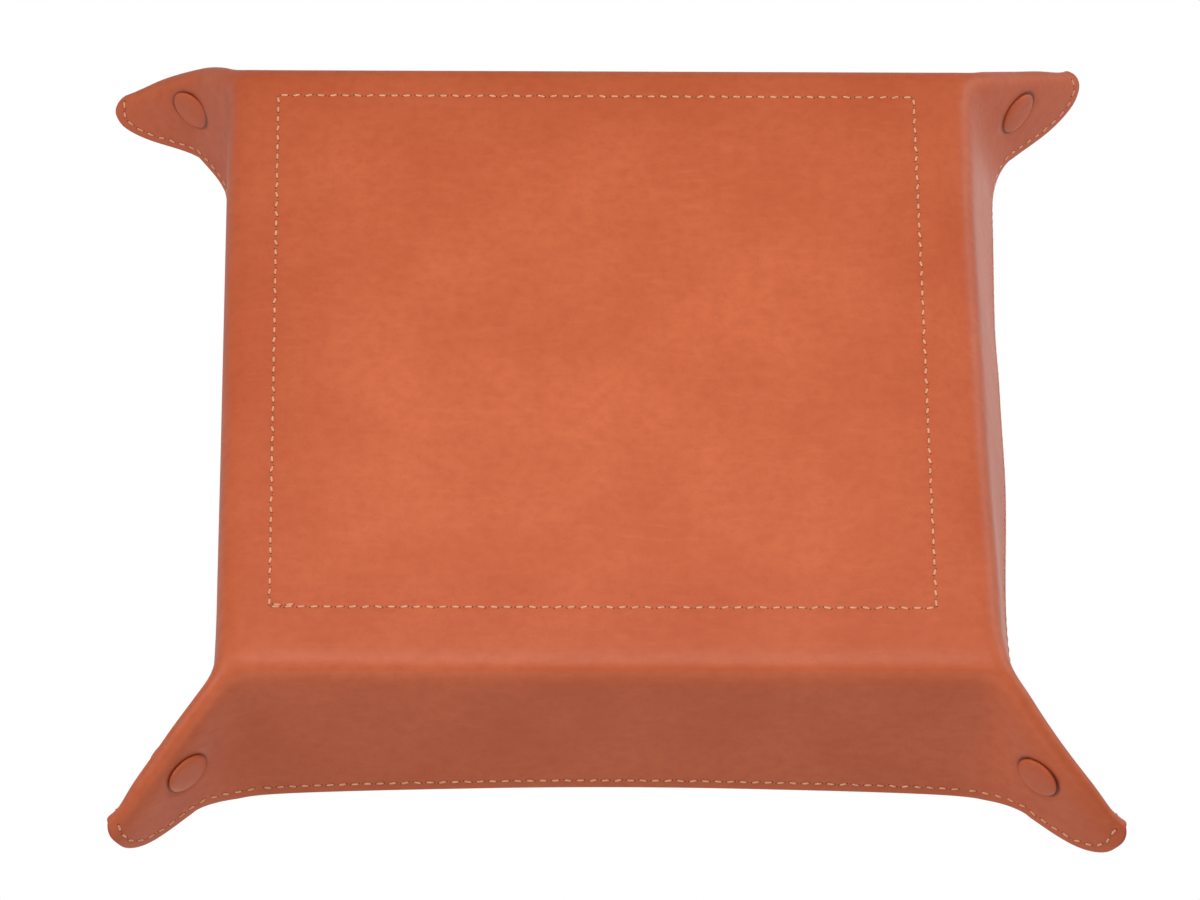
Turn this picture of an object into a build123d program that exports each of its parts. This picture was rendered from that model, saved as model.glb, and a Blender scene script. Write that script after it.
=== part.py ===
from build123d import *
import os
from math import acos, atan, cos, degrees, radians, sin, sqrt, tan

# Leather valet tray: one square sheet of lined leather, folded up on four sides and pinched
# into an ear at each corner, where two covered press snaps hold it. It stands on its base with
# the open side up, +Z up, and the origin is under the middle of the base. Lengths are in mm.

# Driving dimensions of the folded sheet
base_width = 231.0
wall_lean = 6.5
rim_height = 51.2
rim_height_at_ears = 56.6
outer_leather = 1.4
lining_leather = 1.0
base_bend_radius = 7.0
base_corner_radius = 9.0
roll_margin = 0.1
fold_clearance = 0.1

# Ears: their halves lie either side of the corner's diagonal and roll together along a ridge
ear_gap = 3.6
ridge_clearance = 0.3
ridge_setback = 1.63
tongue_reach = 60.8
tip_inset = 4.2
tip_radius = 5.5
tip_edge_angle = 68.0
ear_edge_rise = 4.0

# Stiffening board under the lining, inside the sewn square
seam_inset = 18.0
board_margin = 5.0
board_thickness = 1.6
board_corner_radius = 4.0
board_clearance = 0.15

# Press snaps: covered caps outside, socket and stud inside the ear
snap_outward = 15.7
snap_height = 34.5
cap_radius = 6.2
cap_rise = 1.7
cap_edge = 0.7
cap_crown = 0.35
cover_leather = 0.6
post_radius = 1.7
post_clearance = 0.15
socket_radius = 6.0
socket_height = 2.8
socket_floor = 0.7
socket_cavity_radius = 3.7
socket_mouth_radius = 3.45
socket_mouth_lip = 0.5
stud_flange_radius = 5.4
stud_flange = 0.6
stud_neck_radius = 2.5
stud_head_radius = 3.0
stud_neck = 0.7
stud_head = 0.9
stud_round = 0.3

# One overrun serves every cut, and one reach runs past the whole tray
overrun = 1.0
reach = 2.0 * base_width

leather = outer_leather + lining_leather
lean = radians(wall_lean)
half_base = base_width / 2
sewn_square = base_width - 2 * seam_inset
lining_face = ear_gap / 2
outer_face = lining_face + leather
inner_bend_radius = base_bend_radius - leather
roll_height = inner_bend_radius * tan((radians(90) - lean) / 2) * cos(lean)
foot_height = leather + roll_height + roll_margin

# The crease between a wall and an ear half, and the ridge, follow from the flat sheet
ear_sector = radians(45) - atan(sin(lean))
crease_from_upright = atan(sqrt(2) * tan(lean))
ridge_slope = radians(90) - crease_from_upright - ear_sector
section_depth = rim_height_at_ears

walls = ["front", "right", "rear", "left"]
corners = ["front_left", "front_right", "rear_right", "rear_left"]
layers = {"leather": (0, outer_leather), "lining": (outer_leather, leather)}

os.makedirs("parts", exist_ok=True)


def turned(vector, quarter):
    """The vector turned by whole quarters about the tray's middle."""
    return vector.rotate(Axis.Z, 90 * quarter)


def wall_plane(quarter):
    """Plane of a wall's outer skin: X along the fold, Y up the wall, Z outwards."""
    return Plane(
        origin=turned(Vector(0, -half_base, 0), quarter),
        x_dir=turned(Vector(1, 0, 0), quarter),
        z_dir=turned(Vector(0, -cos(lean), -sin(lean)), quarter),
    )


def mitre_plane(quarter, end):
    """Plane that parts a wall from the ear half at its left (-1) or right (1) end."""
    outer = Vector(-half_base + outer_face * sqrt(2), -half_base, 0)
    step = leather / cos(lean)
    inner = Vector(-half_base + step + lining_face * sqrt(2), -half_base + step, 0)
    crease = Vector(-tan(lean), -tan(lean), 1)
    normal = crease.cross(inner - outer)
    if normal.X < 0:
        normal = normal * -1
    if end > 0:
        outer = Vector(-outer.X, outer.Y, outer.Z)
        normal = Vector(-normal.X, normal.Y, normal.Z)
    return Plane(origin=turned(outer, quarter), z_dir=turned(normal, quarter))


def diagonal_plane(quarter):
    """Plane through a corner's diagonal: X outwards, Y up, Z towards the wall before it."""
    return Plane(
        origin=turned(Vector(-half_base, -half_base, 0), quarter),
        x_dir=turned(Vector(-1, -1, 0), quarter),
        z_dir=turned(Vector(-1, 1, 0), quarter),
    )


def along_ridge(along, across):
    """A place in the diagonal plane, measured along the ridge and square to it."""
    return (
        along * cos(ridge_slope) - across * sin(ridge_slope),
        along * sin(ridge_slope) + across * cos(ridge_slope),
    )


def ridge_section_plane(quarter):
    """Plane square to the ridge, centred on the roll: X off the diagonal, Y down and out."""
    diagonal = diagonal_plane(quarter)
    start = along_ridge(-outer_face, ridge_setback + outer_face)
    run = diagonal.x_dir * cos(ridge_slope) + diagonal.y_dir * sin(ridge_slope)
    origin = diagonal.origin + diagonal.x_dir * start[0] + diagonal.y_dir * start[1]
    return Plane(origin=origin, x_dir=diagonal.z_dir, z_dir=run)


def snap_plane(quarter, side):
    """Plane through a snap's axis: X outwards from it, Y off the diagonal on one side."""
    diagonal = diagonal_plane(quarter)
    origin = (
        diagonal.origin
        + diagonal.x_dir * snap_outward
        + diagonal.y_dir * snap_height
    )
    axis = diagonal.z_dir * side
    return Plane(origin=origin, x_dir=diagonal.x_dir, z_dir=diagonal.x_dir.cross(axis))


def snap_axis(quarter, side):
    """The snap's axis, pointing away from the diagonal."""
    plane = snap_plane(quarter, side)
    return Axis(plane.origin, plane.y_dir)


def skin_width(inset):
    """Width of the base at a skin that lies this far inside the outer one."""
    return base_width - 2 * inset * (1 / cos(lean) - tan(lean))


def save(piece, name):
    """Labels a finished piece and writes it."""
    piece.part.label = name
    export_step(piece.part, f"parts/{name}.step")


# Base: a shallow pan of each layer, rolled up at its edges to where the walls start
skins = {}
for inset in (0, outer_leather, leather):
    with BuildPart() as skin:
        with BuildSketch(Plane.XY.offset(inset)):
            RectangleRounded(skin_width(inset), skin_width(inset), base_corner_radius - inset)
        extrude(amount=2 * base_bend_radius, taper=-wall_lean)
        rolled = skin.faces().sort_by(Axis.Z)[0].edges()
        fillet(rolled, base_bend_radius - inset)
    skins[inset] = skin.part

for layer, (near, far) in layers.items():
    with BuildPart() as base:
        add(skins[near])
        add(skins[far], mode=Mode.SUBTRACT)
        split(bisect_by=Plane.XY.offset(foot_height), keep=Keep.BOTTOM)
        if layer == "lining":
            board_width = sewn_square - 2 * board_margin
            pocket_top = outer_leather + board_thickness
            with BuildSketch(Plane.XY.offset(outer_leather)):
                Rectangle(
                    board_width + 2 * (board_thickness + lining_leather),
                    board_width + 2 * (board_thickness + lining_leather),
                )
            extrude(amount=board_thickness + lining_leather, taper=45)
            with BuildSketch(Plane.XY.offset(outer_leather)):
                Rectangle(board_width + 2 * board_clearance, board_width + 2 * board_clearance)
            extrude(amount=board_thickness, mode=Mode.SUBTRACT)
    save(base, f"base_{layer}")

with BuildPart() as base_board:
    with BuildSketch(Plane.XY.offset(outer_leather)):
        RectangleRounded(board_width, board_width, board_corner_radius)
    extrude(amount=board_thickness)
save(base_board, "base_board")

# Walls: flat panels that lean out, with a rim that dips towards the middle
rim_end = half_base - outer_face * sqrt(2) + rim_height_at_ears * sin(lean)
for quarter, wall in enumerate(walls):
    for layer, (near, far) in layers.items():
        with BuildPart() as panel:
            with BuildSketch(wall_plane(quarter).offset(-near)):
                with BuildLine():
                    rim = ThreePointArc(
                        (-rim_end, rim_height_at_ears),
                        (0, rim_height),
                        (rim_end, rim_height_at_ears),
                    )
                    Polyline(
                        rim @ 1,
                        (reach, rim_height_at_ears),
                        (reach, -overrun),
                        (-reach, -overrun),
                        (-reach, rim_height_at_ears),
                        rim @ 0,
                    )
                make_face()
            extrude(amount=near - far)
            split(bisect_by=Plane.XY.offset(foot_height + fold_clearance), keep=Keep.TOP)
            for end in (-1, 1):
                split(bisect_by=mitre_plane(quarter, end), keep=Keep.TOP)
        save(panel, f"{wall}_wall_{layer}")

# Ears: each half is flat beside the diagonal and rolls over at the ridge to meet its twin
tip_centre = along_ridge(tongue_reach, ridge_setback + tip_inset)
edge_height = rim_height_at_ears * cos(lean)
edge_start = -outer_face + sqrt(2) * tan(lean) * edge_height
roll_end = ridge_clearance / 2
for quarter, corner in enumerate(corners):
    wall_before = walls[quarter - 1]
    wall_after = walls[quarter]
    for layer, (near, far) in layers.items():
        outside = outer_face - near
        inside = outer_face - far
        with BuildPart() as half:
            with BuildSketch(ridge_section_plane(quarter)):
                with BuildLine():
                    outer_roll = CenterArc((0, 0), outside, 0, degrees(acos(roll_end / outside)))
                    inner_roll = CenterArc((0, 0), inside, 0, degrees(acos(roll_end / inside)))
                    Line(outer_roll @ 1, inner_roll @ 1)
                    Polyline(
                        outer_roll @ 0,
                        (outside, -section_depth),
                        (inside, -section_depth),
                        inner_roll @ 0,
                    )
                make_face()
            extrude(amount=tongue_reach + 2 * section_depth)
            with BuildSketch(diagonal_plane(quarter)):
                with BuildLine():
                    tip = CenterArc(
                        tip_centre,
                        tip_radius,
                        tip_edge_angle,
                        degrees(ridge_slope) - 90 - tip_edge_angle,
                    )
                    edge = Spline(
                        (edge_start, edge_height),
                        tip @ 0,
                        tangents=[
                            (cos(radians(ear_edge_rise)), sin(radians(ear_edge_rise))),
                            tip % 0,
                        ],
                    )
                    Polyline(
                        tip @ 1,
                        along_ridge(-reach, ridge_setback + tip_inset - tip_radius),
                        (-reach, edge_height),
                        edge @ 0,
                    )
                make_face()
            extrude(amount=outer_face + overrun, mode=Mode.INTERSECT)
            split(bisect_by=Plane.XY.offset(foot_height), keep=Keep.TOP)
            split(bisect_by=mitre_plane(quarter - 1, 1), keep=Keep.BOTTOM)
            with BuildSketch(diagonal_plane(quarter)):
                with Locations((snap_outward, snap_height)):
                    Circle(post_radius + post_clearance)
            extrude(amount=outer_face + overrun, mode=Mode.SUBTRACT)
        save(half, f"{corner}_ear_{wall_before}_{layer}")
        with BuildPart() as twin:
            mirror(half.part, about=diagonal_plane(quarter))
        save(twin, f"{corner}_ear_{wall_after}_{layer}")

# Snaps: the socket side is on the side walls' ear halves, the stud side on the others
post_hole_radius = post_radius + post_clearance
socket_face = lining_face - socket_height
stud_seat = lining_face - stud_flange
cover_radius = cap_radius + cover_leather
for quarter, corner in enumerate(corners):
    socket_side = 1 if walls[quarter - 1] in ("left", "right") else -1
    post_ends = {"socket": lining_face - socket_floor, "stud": stud_seat - stud_neck}
    for kind, side in (("socket", socket_side), ("stud", -socket_side)):
        plane = snap_plane(quarter, side)
        axis = snap_axis(quarter, side)
        with BuildPart() as cap:
            with BuildSketch(plane):
                with BuildLine():
                    crown = ThreePointArc(
                        (0, outer_face + cap_rise),
                        (cap_radius / 2, outer_face + cap_rise - cap_crown / 3),
                        (cap_radius - cap_edge, outer_face + cap_rise - cap_crown),
                    )
                    shoulder = TangentArc(
                        crown @ 1, (cap_radius, outer_face + cap_edge), tangent=crown % 1
                    )
                    Polyline(
                        shoulder @ 1,
                        (cap_radius, outer_face),
                        (post_radius, outer_face),
                        (post_radius, post_ends[kind]),
                        (0, post_ends[kind]),
                        crown @ 0,
                    )
                make_face()
            revolve(axis=axis)
        save(cap, f"{corner}_snap_{kind}_cap")

        with BuildPart() as cover:
            with BuildSketch(plane):
                with BuildLine():
                    top = outer_face + cap_rise + cover_leather
                    crown = ThreePointArc(
                        (0, top),
                        (cap_radius / 2, top - cap_crown / 3),
                        (cap_radius - cap_edge, top - cap_crown),
                    )
                    shoulder = TangentArc(
                        crown @ 1, (cover_radius, outer_face + cap_edge), tangent=crown % 1
                    )
                    Polyline(
                        shoulder @ 1,
                        (cover_radius, outer_face),
                        (0, outer_face),
                        crown @ 0,
                    )
                make_face()
            revolve(axis=axis)
            add(cap.part, mode=Mode.SUBTRACT)
        save(cover, f"{corner}_snap_{kind}_cover")

        with BuildPart() as clasp:
            with BuildSketch(plane):
                if kind == "socket":
                    with BuildLine():
                        Polyline(
                            (post_hole_radius, lining_face),
                            (socket_radius, lining_face),
                            (socket_radius, socket_face),
                            (socket_mouth_radius, socket_face),
                            (socket_mouth_radius, socket_face + socket_mouth_lip),
                            (socket_cavity_radius, socket_face + 2 * socket_mouth_lip),
                            (socket_cavity_radius, lining_face - socket_floor),
                            (post_hole_radius, lining_face - socket_floor),
                            close=True,
                        )
                    make_face()
                else:
                    with BuildLine():
                        Polyline(
                            (post_hole_radius, lining_face),
                            (stud_flange_radius, lining_face),
                            (stud_flange_radius, stud_seat),
                            (stud_neck_radius, stud_seat),
                            (stud_neck_radius, stud_seat - stud_neck),
                            (stud_head_radius, stud_seat - stud_neck - stud_round),
                            (stud_head_radius, stud_seat - stud_neck - stud_head),
                            (post_hole_radius, stud_seat - stud_neck - stud_head),
                            close=True,
                        )
                    make_face()
            revolve(axis=axis)
        save(clasp, f"{corner}_snap_{kind}")
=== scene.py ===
import math

import bpy
import numpy as np
from mathutils import Matrix, Vector


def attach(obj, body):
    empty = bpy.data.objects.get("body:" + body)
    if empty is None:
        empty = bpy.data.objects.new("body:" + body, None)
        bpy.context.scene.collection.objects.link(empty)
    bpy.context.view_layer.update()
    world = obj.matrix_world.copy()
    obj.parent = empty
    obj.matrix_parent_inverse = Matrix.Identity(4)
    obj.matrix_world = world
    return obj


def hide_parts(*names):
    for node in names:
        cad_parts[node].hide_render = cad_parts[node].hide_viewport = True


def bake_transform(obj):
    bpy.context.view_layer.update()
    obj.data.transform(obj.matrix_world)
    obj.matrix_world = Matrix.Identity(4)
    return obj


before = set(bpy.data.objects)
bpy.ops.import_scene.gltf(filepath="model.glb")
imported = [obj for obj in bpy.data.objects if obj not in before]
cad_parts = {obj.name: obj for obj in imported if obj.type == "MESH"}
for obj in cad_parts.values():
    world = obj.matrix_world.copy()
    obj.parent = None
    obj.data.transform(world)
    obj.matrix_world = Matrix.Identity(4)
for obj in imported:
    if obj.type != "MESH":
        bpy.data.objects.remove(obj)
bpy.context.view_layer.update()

# Sizes of the folded sheet, in millimetres, as in the source; they become metres in the meshes
MM = 0.001
# The walls' lean, half the leather and lining together, and the base's half width at the walls' outer face
LEAN = math.radians(6.5)
MID = 1.2
OUTER_HALF = 115.5
# The same half width at the fold in the middle of the sheet
HALF = OUTER_HALF - MID * (1 / math.cos(LEAN) - math.tan(LEAN))
# An ear: half the roll between its halves, its ridge's slope, and the angle from ridge to wall crease
EAR_HALF_GAP = 3.0
RIDGE = math.radians(42.305)
SECTOR = math.radians(45) - math.atan(math.sin(LEAN))
# The rim's height over the fold, in the flat sheet, in its middle and at its ends, and where these are
RIM_MIDDLE = 51.2 - MID / math.cos(LEAN)
RIM_ENDS = 56.6 - MID / math.cos(LEAN)
RIM_REACH = 116.0
# Offsets from the middle of the sheet: leather face, the split between leather and lining, lining face
OUTER = MID
BETWEEN = -0.2
INNER = -MID

# Seams: the base's sewn square, which lies a little off the middle, and the seam along the rim
SEWN_CENTRE = np.array([3.1, 4.6])
SEWN_HALF = 97.5
RIM_SEAM = 3.7
PITCH = 3.68
STITCH_LENGTH = 2.35
THREAD_RADIUS = 0.34
HOLE_RADIUS = 0.36

# Where the sheet is parted between bodies, measured in the flat sheet
FOLD_START = HALF - 9.0
WALL_END = 103.0
WALL_SPREAD = 1.5


# The folded surface: a sharply folded sheet, rounded and then bent as in the photo
def sharp_fold(u, v):
    """The mid surface of the sharply folded sheet, for the half corner with v <= u <= 0."""
    pu, pv = u + HALF, v + HALF
    along = -(pu + pv) / math.sqrt(2)
    across = (pu - pv) / math.sqrt(2)
    # Along the ridge and off the roll; outwards along the corner's diagonal, square to it, and up
    e = along + EAR_HALF_GAP
    p = across - EAR_HALF_GAP
    d = np.array([-1, -1, 0]) / math.sqrt(2)
    n = np.array([1, -1, 0]) / math.sqrt(2)
    z = np.array([0, 0, 1.0])
    ridge = math.cos(RIDGE) * d + math.sin(RIDGE) * z
    up = -math.sin(RIDGE) * d + math.cos(RIDGE) * z
    start = np.array([-HALF, -HALF, MID]) - EAR_HALF_GAP * d
    h = -HALF - v
    wall = np.stack([u, -HALF - h * math.sin(LEAN), MID + h * math.cos(LEAN)], -1)
    base = np.stack([u, v, np.full_like(u, MID)], -1)
    strip = start + e[..., None] * ridge + across[..., None] * n
    half = start + EAR_HALF_GAP * n + e[..., None] * ridge + p[..., None] * up
    out = np.where((p < e * math.tan(SECTOR))[..., None], half, wall)
    out = np.where(((p < 0) & (e >= 0))[..., None], strip, out)
    return np.where(((v > -HALF) & (e < 0))[..., None], base, out)


def smoothstep(x):
    """From 0 to 1 as x does, and flat at both ends."""
    x = np.clip(x, 0, 1)
    return x * x * (3 - 2 * x)


# One quarter of the sheet on a grid of 1 mm
GRID_REACH = 190
axis_values = np.arange(-GRID_REACH, 1.0)
gu, gv = np.meshgrid(axis_values, axis_values, indexing="ij")
lower = gv <= gu
quarter = sharp_fold(np.where(lower, gu, gv), np.where(lower, gv, gu))
quarter = np.where(lower[..., None], quarter, quarter[..., [1, 0, 2]])

# Rounding of the folds: the sheet's position is diffused over the flat sheet, by a spread that grows
# past the fold towards the rim, and that is less near an ear's ridge, but more again at its tip
STEPS = 280
FOLD_SPREAD, RIM_SPREAD, RIM_AT = 4.1, 5.0, 56
RIDGE_SPREAD, TIP_SPREAD = 2.4, 2.4
RIDGE_WIDTH, TIP_WIDTH = 6.5, 5
RIDGE_BEFORE, RIDGE_RUN = 1, 12
TIP_FROM, TIP_RUN = 38, 22
beyond = np.maximum(-HALF - np.minimum(gu, gv), 0)
spread = FOLD_SPREAD + RIM_SPREAD * smoothstep(beyond / RIM_AT) ** 2
ridge_off = np.abs(gu - gv) / math.sqrt(2)
ridge_on = -(gu + gv) / math.sqrt(2) - HALF * math.sqrt(2)
towards_tip = smoothstep((ridge_on - TIP_FROM) / TIP_RUN)
near_ridge = np.exp(-((ridge_off / (RIDGE_WIDTH + TIP_WIDTH * towards_tip)) ** 2))
near_ridge = near_ridge * smoothstep((ridge_on + RIDGE_BEFORE) / RIDGE_RUN)
ridge_spread = RIDGE_SPREAD + TIP_SPREAD * towards_tip
spread = spread + (ridge_spread - spread) * near_ridge
rate = (spread**2 / (2 * STEPS))[1:-1, 1:-1, None]
for _ in range(STEPS):
    inner = quarter[1:-1, 1:-1]
    around = quarter[2:, 1:-1] + quarter[:-2, 1:-1] + quarter[1:-1, 2:] + quarter[1:-1, :-2]
    quarter[1:-1, 1:-1] = inner + rate * (around - 4 * inner)
    # On its middle lines the quarter meets its mirror image
    quarter[-1, :, 1:] = quarter[-2, :, 1:]
    quarter[:, -1, ::2] = quarter[:, -2, ::2]

# The whole sheet from its quarter
full_axis = np.arange(-GRID_REACH, GRID_REACH + 1.0)
index = GRID_REACH - np.abs(full_axis).astype(int)
surface = quarter[np.ix_(index, index)].copy()
fu, fv = np.meshgrid(full_axis, full_axis, indexing="ij")
surface[..., 0] *= np.where(fu > 0, -1, 1)
surface[..., 1] *= np.where(fv > 0, -1, 1)


def corner_frame(sx, sy):
    """Directions of a corner: outwards along its diagonal, and square to that towards the side wall."""
    return np.array([sx, sy, 0]) / math.sqrt(2), np.array([sx, -sy, 0]) / math.sqrt(2)


# Each ear bends its own way: outwards and towards the side wall past its snap, and as a whole
EAR_BENDS = {
    (1, 1): (-1.2, 12.5, -2.9),
    (-1, 1): (6.0, 0.0, -0.8),
    (-1, -1): (0.3, 7.1, 0.0),
    (1, -1): (-2.5, 4.5, 1.1),
}
BEND_FROM, BEND_RUN, BEND_LIMIT = 5, 39, 1.4
EAR_SHIFT_RUN = 18
# Near its tip an ear's ridge flares sideways and the half behind it is drawn back, by the sign of y
FLARE = {-1: 5.2, 1: -4.2}
FLARE_WIDTH, FLARE_FROM, FLARE_RUN = 9.5, 38, 18
DRAWN = {-1: 4.6, 1: 1.2}
DRAWN_WIDTH, DRAWN_FROM, DRAWN_RUN = 7, 44, 18
for (sx, sy), (outwards, sideways, shift) in EAR_BENDS.items():
    d, n = corner_frame(sx, sy)
    here = (fu * sx > 0) & (fv * sy > 0)
    off_ridge = np.abs(fu) - np.abs(fv)
    along_ridge = (np.abs(fu) + np.abs(fv) - 2 * HALF) / math.sqrt(2)
    reach = (np.abs(surface[..., 0]) + np.abs(surface[..., 1]) - 2 * HALF) / math.sqrt(2)
    bend = np.where(here, np.clip((reach - BEND_FROM) / BEND_RUN, 0, BEND_LIMIT) ** 2, 0)
    whole = np.where(here, smoothstep(reach / EAR_SHIFT_RUN), 0)
    surface += bend[..., None] * (outwards * d + sideways * n) + whole[..., None] * shift * n
    flare = FLARE[sy] * np.exp(-((off_ridge / FLARE_WIDTH) ** 2))
    flare = flare * np.where(here, smoothstep((reach - FLARE_FROM) / FLARE_RUN), 0)
    surface += flare[..., None] * n
    behind = np.clip(np.tanh(off_ridge * -sy / DRAWN_WIDTH), 0, 1)
    drawn = DRAWN[sy] * behind * np.where(here, smoothstep((along_ridge - DRAWN_FROM) / DRAWN_RUN), 0)
    surface -= drawn[..., None] * d

# The walls bow a little: (place along the wall, outward depth at the rim), growing from the fold up
BOW_RUN = 46
WALL_BOWS = {
    "front": [(-110, 0), (-40, 0.6), (40, 0.6), (110, 0)],
    "right": [(-122, 0), (-84, -3.7), (-20, -4.8), (84, -5.4), (108, -4.4), (124, 0)],
    "rear": [(-110, 0), (-40, -2.0), (40, -2.0), (110, 0)],
    "left": [(-110, 0), (-62, -2.0), (-7, 0), (25, -0.3), (50, -0.8), (100, 0)],
}
WALL_OUT = {"front": (0, -1), "right": (1, 0), "rear": (0, 1), "left": (-1, 0)}


def profile(points, x):
    """A smooth line through (place, value) pairs, flat at each of them."""
    value = np.full_like(x, points[0][1], dtype=float)
    for (x0, d0), (x1, d1) in zip(points[:-1], points[1:]):
        value += (d1 - d0) * smoothstep((x - x0) / (x1 - x0))
    return value


# One fold lies further in than the others, and its wall leans more: (place along it, depth)
FOLD_SHIFTS = {"left": [(-120, 0.5), (-90, -2.6), (-20, -4.0), (60, -4.6), (98, -3.8), (122, -0.5)]}
FOLD_SHIFT_BEFORE, FOLD_SHIFT_RISE, FOLD_SHIFT_END = 15, 12, 51
for wall, (ox, oy) in WALL_OUT.items():
    h = fu * ox + fv * oy - HALF
    across = fu * abs(oy) + fv * abs(ox)
    if wall in FOLD_SHIFTS:
        fade = smoothstep((h + FOLD_SHIFT_BEFORE) / FOLD_SHIFT_RISE) * np.clip(1 - h / FOLD_SHIFT_END, 0, 1)
        shift = profile(FOLD_SHIFTS[wall], across) * fade
        surface[..., 0] += shift * ox
        surface[..., 1] += shift * oy
    bow = profile(WALL_BOWS[wall], across) * smoothstep(h / BOW_RUN)
    surface[..., 0] += np.where(h > 0, bow * ox, 0)
    surface[..., 1] += np.where(h > 0, bow * oy, 0)


def spline(t):
    """Weights of a uniform cubic spline and of its slope."""
    value = [
        (1 - t) ** 3 / 6,
        (3 * t**3 - 6 * t**2 + 4) / 6,
        (-3 * t**3 + 3 * t**2 + 3 * t + 1) / 6,
        t**3 / 6,
    ]
    slope = [-((1 - t) ** 2) / 2, (3 * t**2 - 4 * t) / 2, (-3 * t**2 + 2 * t + 1) / 2, t**2 / 2]
    return value, slope


def sheet_at(u, v):
    """Place and outward normal of the mid surface at flat places u, v."""
    cu, cv = u + GRID_REACH, v + GRID_REACH
    iu, iv = np.floor(cu).astype(int), np.floor(cv).astype(int)
    (wu, du), (wv, dv) = spline(cu - iu), spline(cv - iv)
    place = np.zeros(u.shape + (3,))
    along_u = np.zeros(u.shape + (3,))
    along_v = np.zeros(u.shape + (3,))
    for a in range(4):
        for b in range(4):
            point = surface[iu - 1 + a, iv - 1 + b]
            place += (wu[a] * wv[b])[..., None] * point
            along_u += (du[a] * wv[b])[..., None] * point
            along_v += (wu[a] * dv[b])[..., None] * point
    normal = np.cross(along_v, along_u)
    normal /= np.maximum(np.linalg.norm(normal, axis=-1, keepdims=True), 1e-9)
    return place, normal


# Outline of the flat sheet
def flat_from_ear(s, z):
    """Flat e, q of a place in the diagonal plane: along the ridge, and off the ridge line."""
    ds, dz = s + (OUTER_HALF - HALF) * math.sqrt(2) + EAR_HALF_GAP, z - MID
    e = ds * math.cos(RIDGE) + dz * math.sin(RIDGE)
    return e, EAR_HALF_GAP - ds * math.sin(RIDGE) + dz * math.cos(RIDGE)


def flat_uv(e, q):
    """Flat u, v of a place in the front left ear's half on the front wall's side."""
    s = e - EAR_HALF_GAP
    return -HALF + (-s + q) / math.sqrt(2), -HALF + (-s - q) / math.sqrt(2)


def rim_at(u):
    """Flat v of the front wall's rim."""
    sag = RIM_ENDS - RIM_MIDDLE
    radius = (RIM_REACH**2 + sag**2) / (2 * sag)
    return -HALF - (RIM_MIDDLE + radius - np.sqrt(radius**2 - np.asarray(u) ** 2))


def catmull(points, count):
    """A smooth line through points, at even lengths."""
    pts = np.asarray(points, float)
    ends = np.vstack([2 * pts[0] - pts[1], pts, 2 * pts[-1] - pts[-2]])
    line = []
    for i in range(len(pts) - 1):
        p0, p1, p2, p3 = ends[i : i + 4]
        square = 2 * p0 - 5 * p1 + 4 * p2 - p3
        cube = 3 * p1 - p0 - 3 * p2 + p3
        for t in np.linspace(0, 1, 40, endpoint=i == len(pts) - 2):
            line.append(0.5 * (2 * p1 + (p2 - p0) * t + square * t**2 + cube * t**3))
    return even(np.array(line), count)


def even(line, count):
    """A line resampled at even lengths."""
    length = np.concatenate([[0], np.cumsum(np.linalg.norm(np.diff(line, axis=0), axis=1))])
    at = np.linspace(0, length[-1], count)
    return np.stack([np.interp(at, length, line[:, k]) for k in range(line.shape[1])], 1)


# The ear's open edge past the wall: (outwards, height), then its tip about a centre on the ear:
# (degrees from the ridge, radius), and last the turn into the other half: (along, off the ridge)
EDGE_SHAPE = [(11.0, 55.3)]
TIP_CENTRE = (48.0, 6.0)
TIP_SHAPE = [(82, 24.7), (62, 22.5), (45, 22.2), (31, 22.0), (18, 21.3), (6, 19.8)]
TIP_TURN = [(66.8, 5.0), (65.2, 2.3), (63.6, 0)]
TIP_END = TIP_TURN[-1][0]
edge_uv = [flat_uv(*flat_from_ear(s, z)) for s, z in EDGE_SHAPE]
tip_eq = [
    (TIP_CENTRE[0] + r * math.cos(math.radians(a)), TIP_CENTRE[1] + r * math.sin(math.radians(a)))
    for a, r in TIP_SHAPE
]
tip_uv = [flat_uv(e, q) for e, q in tip_eq + TIP_TURN]
wall_part = [(u, float(rim_at(u))) for u in (-WALL_END - WALL_SPREAD, -108.0, -112.0)]
OUTLINE_COUNT = 96
outline = catmull(wall_part + edge_uv + tip_uv, OUTLINE_COUNT)
outline[0] = (-WALL_END - WALL_SPREAD, float(rim_at(-WALL_END - WALL_SPREAD)))
outline[-1] = flat_uv(TIP_END, 0)


# Meshes of the sheet's pieces
def inward(line, first=None, last=None):
    """Unit directions square to a line, towards the sheet's middle."""
    along = np.gradient(line, axis=0)
    along /= np.linalg.norm(along, axis=1, keepdims=True)
    side = np.stack([-along[:, 1], along[:, 0]], 1)
    side *= np.where((side * -line).sum(1, keepdims=True) < 0, -1, 1)
    if first is not None:
        side[0] = first
    if last is not None:
        side[-1] = last
    return side


# The cut edges, rounded: (distance in from the outline, offset from the middle of the sheet)
LEATHER_EDGE = [(0.95, 1.2), (0.6, 1.13), (0.3, 0.95), (0.1, 0.68), (0.0, 0.3), (0.0, -0.2)]
LINING_EDGE = [(0.8, -1.2), (0.5, -1.13), (0.22, -0.98), (0.05, -0.75), (0.0, -0.5), (0.0, -0.2)]
# Middle of a snap: how far out on the ear, and its height
CAP_OUT, CAP_HEIGHT = 15.7, 33.8
CAP_UV = np.array(flat_uv(*flat_from_ear(CAP_OUT, CAP_HEIGHT)))
# The outline from the middle of the front wall's rim to an ear's tip
rim_u = np.linspace(0, -WALL_END, 80)
RIM_LINE = np.vstack([np.stack([rim_u, rim_at(rim_u)], 1), outline])


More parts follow.
